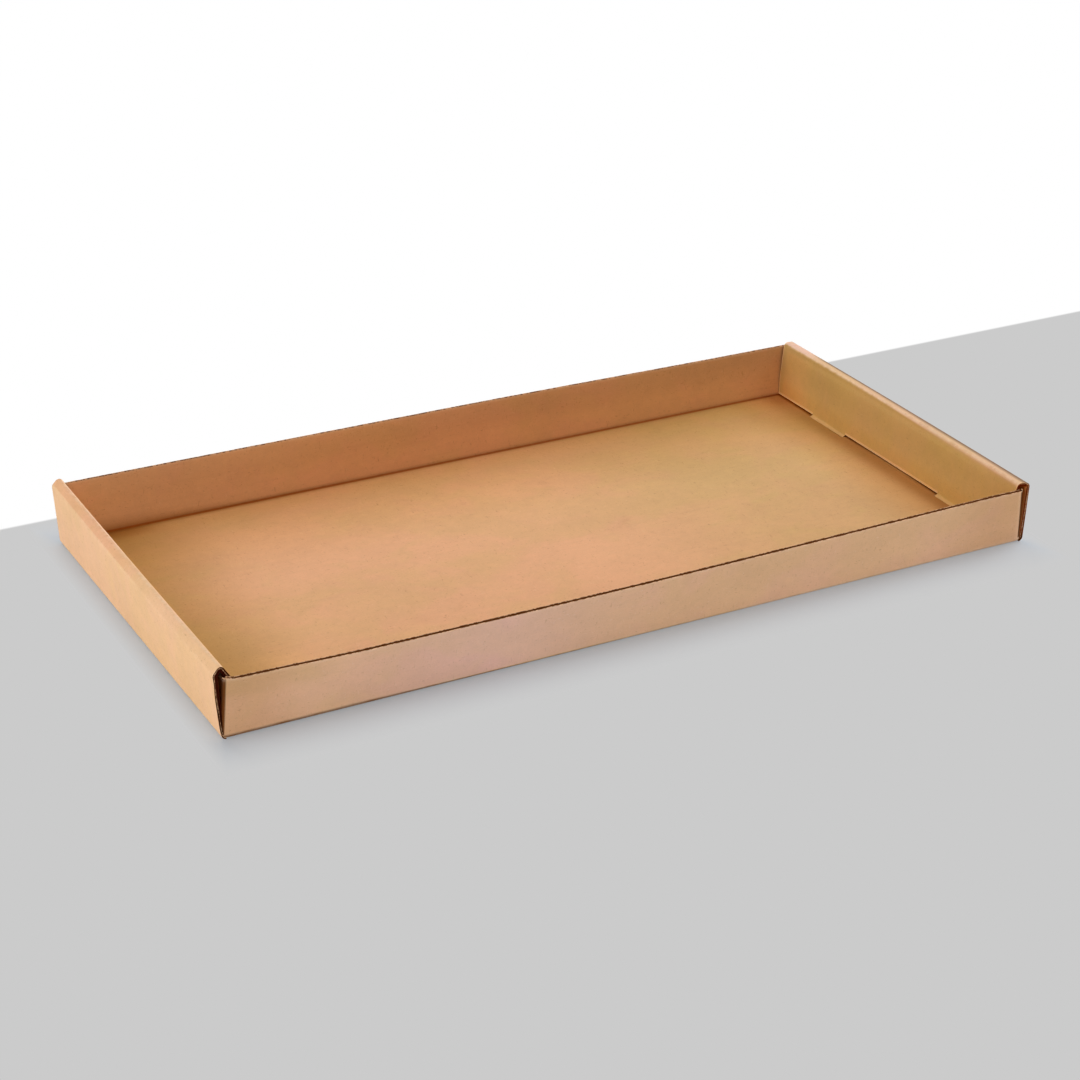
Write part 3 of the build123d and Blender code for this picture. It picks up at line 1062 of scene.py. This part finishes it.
def addFloor():
    # seen by the camera, the floor keeps the tray's shade close to it and turns to one even pale grey away
    # from it, and to white behind it and far off; d = max of (|x| - x0) kx and (|y| - y0) ky is how close
    size = studio["floorSize"] / 2
    corners = np.array([(-size, -size), (size, -size), (size, size), (-size, size)])
    corners = np.insert(corners, 2, -studio["under"], 1)
    look, shader = newMaterial("paleFloor")
    tree = look.node_tree
    shader.inputs["Roughness"].default_value = 0.9
    where = place(tree, "TexCoord").outputs["Object"]
    parts = place(tree, "SeparateXYZ")
    feed(tree, where, parts.inputs[0])
    away = place(tree, "VectorMath", operation="LENGTH")
    feed(tree, where, away.inputs[0])
    gaps = []
    for part, start, weight in zip(parts.outputs, *studio["contactSpan"]):
        beyond = compute(tree, "SUBTRACT", compute(tree, "ABSOLUTE", part), start)
        gaps.append(product(tree, beyond, weight))
    share = place(tree, "MapRange")
    for value, socket in zip((compute(tree, "MAXIMUM", *gaps), *studio["contact"]), share.inputs):
        feed(tree, value, socket)
    lit = blend(tree, share.outputs[0], studio["contactColor"], studio["floorColor"])
    feed(tree, lit, shader.inputs["Base Color"])
    back = compute(tree, "MULTIPLY_ADD", parts.outputs[0], studio["whiteSlant"], parts.outputs[1])
    behind = remap(tree, back, *studio["whiteBeyond"])
    around = remap(tree, away.outputs["Value"], *studio["whiteAround"])
    white = compute(tree, "MAXIMUM", behind, around)
    even = place(tree, "Emission")
    feed(tree, blend(tree, white, studio["shownColor"], (1, 1, 1, 1)), even.inputs["Color"])
    seen = place(tree, "LightPath").outputs["Is Camera Ray"]
    mix = place(tree, "MixShader")
    feed(tree, product(tree, share.outputs[0], seen), mix.inputs[0])
    feed(tree, shader.outputs[0], mix.inputs[1])
    feed(tree, even.outputs[0], mix.inputs[2])
    output = next(n for n in tree.nodes if n.type == "OUTPUT_MATERIAL")
    feed(tree, mix.outputs[0], output.inputs["Surface"])
    floor = meshPiece("studio_floor", corners, np.array([[0, 1, 2, 3]]), np.zeros(1), [look])


def addCamera():
    data = bpy.data.cameras.new("camera")
    data.lens = studio["lens"]
    data.sensor_width = 36
    data.sensor_fit = "HORIZONTAL"
    data.shift_x, data.shift_y = studio["shift"]
    data.clip_end = 50
    camera = addObject("camera", data)
    turn = (
        Matrix.Rotation(radians(-studio["azimuth"]), 4, "Z")
        @ Matrix.Rotation(radians(90 - studio["downward"]), 4, "X")
        @ Matrix.Rotation(radians(studio["roll"]), 4, "Z")
    )
    camera.matrix_world = Matrix.Translation(studio["eye"]) @ turn
    bpy.context.scene.camera = camera


# place, target, size and power; the low cards stand on the floor and light the outside alone
lamps = {
    "rightHigh": ((1.3, 0.2, 1.4), (0, 0, 0), (1.2, 1.2), 22),
    "rearHigh": ((0, 1.3, 1.3), (0, 0, 0), (1.6, 1.0), 15),
    "leftMid": ((-1.5, 0.1, 0.9), (0, 0, 0), (1.2, 1.0), 6.5),
    "frontMid": ((-0.2, -1.5, 1.0), (0, 0, 0), (1.4, 1.0), 8),
    "leftLow": ((-1.5, 0, 0.062), (0, 0, 0.05), (1.8, 0.12), 9),
    "frontLow": ((0, -1.6, 0.062), (0, 0, 0.05), (2.2, 0.12), 4.5),
}


def addLamp(name, spot, target, size, power):
    data = bpy.data.lights.new(name, "AREA")
    data.shape = "RECTANGLE"
    data.size, data.size_y = size
    data.energy = power
    lamp = addObject(name, data)
    lamp.location = spot
    lamp.visible_camera = False
    lamp.rotation_euler = (Vector(target) - Vector(spot)).to_track_quat("-Z", "Y").to_euler()


def addWorld():
    world = bpy.data.worlds.new("studio")
    world.use_nodes = True
    tree = world.node_tree
    background = tree.nodes["Background"]
    background.inputs["Color"].default_value = studio["worldColor"]
    rays = place(tree, "LightPath")
    shown = compute(tree, "MAXIMUM", rays.outputs["Is Camera Ray"], rays.outputs["Is Transmission Ray"])
    dim = studio["worldStrength"]
    strength = compute(tree, "MULTIPLY_ADD", shown, 1 - dim, dim)
    feed(tree, strength, background.inputs["Strength"])
    bpy.context.scene.world = world


addFloor()
addCamera()
for name, (spot, target, size, power) in lamps.items():
    addLamp(name, spot, target, size, power)
addWorld()
bpy.context.scene.view_settings.view_transform = "Standard"
print("stage set")
